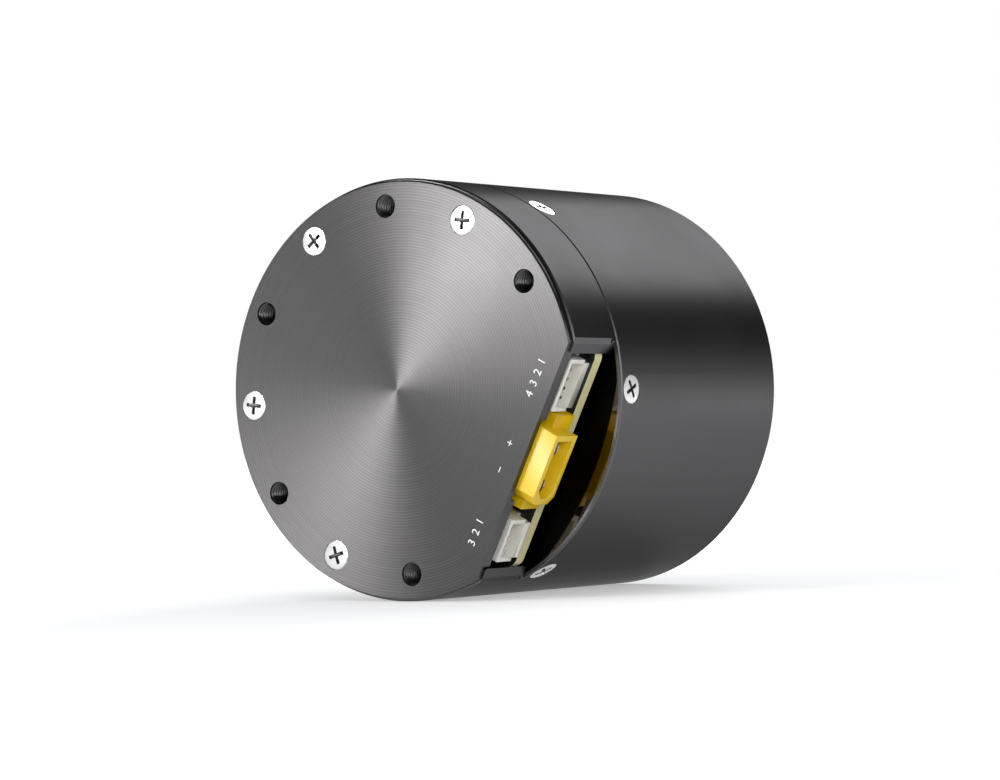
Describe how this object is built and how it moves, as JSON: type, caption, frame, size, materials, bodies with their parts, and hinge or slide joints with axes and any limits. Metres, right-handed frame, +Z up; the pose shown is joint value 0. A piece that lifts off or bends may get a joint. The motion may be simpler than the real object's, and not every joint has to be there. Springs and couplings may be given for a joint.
{
  "type": "robot joint actuator",
  "caption": "Round robot joint actuator: rear driver bay with connectors in a flat, outrunner motor and planetary reduction, and a turning output flange at the front.",
  "frame": {"origin": "centre of the rear cover plate's face, on the output axis", "axes": "+Y along the output axis from the rear cover to the output flange; +Z up as the part lies on its side, with its connector flat facing +X and a little down"},
  "size_m": [0.053, 0.0493, 0.053],
  "materials": {
    "case_turned": "dark anodised aluminium, face turned in fine rings",
    "case_gloss": "black anodised aluminium, glossy floor",
    "case_satin": "black anodised aluminium, satin",
    "output_metal": "dark anodised aluminium, turned",
    "bright_steel": "bright plated steel",
    "bearing_steel": "ground steel",
    "gear_steel": "machined steel",
    "lamination": "stacked electrical steel",
    "copper": "enamelled copper wire",
    "magnet": "nickel plated magnet",
    "plain_aluminium": "plain aluminium sheet",
    "board": "glass epoxy board with dark solder mask and pale edge",
    "chip": "black moulded package",
    "capacitor": "aluminium can",
    "yellow_nylon": "yellow moulded nylon",
    "white_nylon": "off-white moulded nylon",
    "contact": "gilt contact",
    "seal_rubber": "black rubber"
  },
  "bodies": {
    "housing": {"end_plate": "case_turned", "end_plate_screws": "bright_steel", "rear_housing": "case_gloss", "driver_board": "board", "board_screws": "bright_steel", "board_chips": "chip", "power_transistors": "chip", "bulk_capacitors": "capacitor", "encoder_chip": "chip", "power_connector": "yellow_nylon", "power_pins": "bright_steel", "can_header": "white_nylon", "can_contacts": "contact", "uart_header": "white_nylon", "uart_contacts": "contact", "motor_bearing_outer_races": "bearing_steel", "stator_core": "lamination", "stator_coils": "copper", "phase_leads": "copper", "ring_gear": "gear_steel", "gear_partition": "plain_aluminium", "sleeve": "case_satin", "sleeve_screws": "bright_steel", "front_cover": "case_turned", "front_cover_screws": "bright_steel", "output_bearing_outer_race": "bearing_steel", "output_seal": "seal_rubber"},
    "rotor": {"rotor_shaft": "gear_steel", "encoder_magnet": "magnet", "rotor_bell": "gear_steel", "rotor_magnets": "magnet", "motor_bearing_inner_races": "bearing_steel"},
    "first_stage": {"first_carrier": "gear_steel", "first_carrier_pins": "bearing_steel"},
    "output": {"output_flange": "output_metal", "output_pins": "bearing_steel", "output_bearing_inner_race": "bearing_steel"},
    "first_planet_1": {"first_planet_1": "gear_steel"},
    "second_planet_1": {"second_planet_1": "gear_steel"},
    "first_planet_2": {"first_planet_2": "gear_steel"},
    "second_planet_2": {"second_planet_2": "gear_steel"},
    "first_planet_3": {"first_planet_3": "gear_steel"},
    "second_planet_3": {"second_planet_3": "gear_steel"}
  },
  "joints": [
    {"name": "rotor_spin", "type": "hinge", "parent": "housing", "child": "rotor", "pos_m": [0, 0.0171, 0], "axis": [0, 1, 0], "continuous": true},
    {"name": "first_stage_spin", "type": "hinge", "parent": "housing", "child": "first_stage", "pos_m": [0, 0.0341, 0], "axis": [0, 1, 0], "continuous": true},
    {"name": "output_spin", "type": "hinge", "parent": "housing", "child": "output", "pos_m": [0, 0.0451, 0], "axis": [0, 1, 0], "continuous": true},
    {"name": "first_planet_1_spin", "type": "hinge", "parent": "first_stage", "child": "first_planet_1", "pos_m": [0.01126, 0.0302, -0.00566], "axis": [0, 1, 0], "continuous": true},
    {"name": "second_planet_1_spin", "type": "hinge", "parent": "output", "child": "second_planet_1", "pos_m": [0.01126, 0.0385, -0.00566], "axis": [0, 1, 0], "continuous": true},
    {"name": "first_planet_2_spin", "type": "hinge", "parent": "first_stage", "child": "first_planet_2", "pos_m": [-0.00073, 0.0302, 0.01258], "axis": [0, 1, 0], "continuous": true},
    {"name": "second_planet_2_spin", "type": "hinge", "parent": "output", "child": "second_planet_2", "pos_m": [-0.00073, 0.0385, 0.01258], "axis": [0, 1, 0], "continuous": true},
    {"name": "first_planet_3_spin", "type": "hinge", "parent": "first_stage", "child": "first_planet_3", "pos_m": [-0.01053, 0.0302, -0.00692], "axis": [0, 1, 0], "continuous": true},
    {"name": "second_planet_3_spin", "type": "hinge", "parent": "output", "child": "second_planet_3", "pos_m": [-0.01053, 0.0385, -0.00692], "axis": [0, 1, 0], "continuous": true}
  ],
  "couplings": [
    {"joint": "first_stage_spin", "follows": "rotor_spin", "ratio": 0.16667},
    {"joint": "output_spin", "follows": "rotor_spin", "ratio": 0.027778},
    {"joint": "first_planet_1_spin", "follows": "rotor_spin", "ratio": -0.41667},
    {"joint": "second_planet_1_spin", "follows": "rotor_spin", "ratio": -0.069444},
    {"joint": "first_planet_2_spin", "follows": "rotor_spin", "ratio": -0.41667},
    {"joint": "second_planet_2_spin", "follows": "rotor_spin", "ratio": -0.069444},
    {"joint": "first_planet_3_spin", "follows": "rotor_spin", "ratio": -0.41667},
    {"joint": "second_planet_3_spin", "follows": "rotor_spin", "ratio": -0.069444}
  ]
}
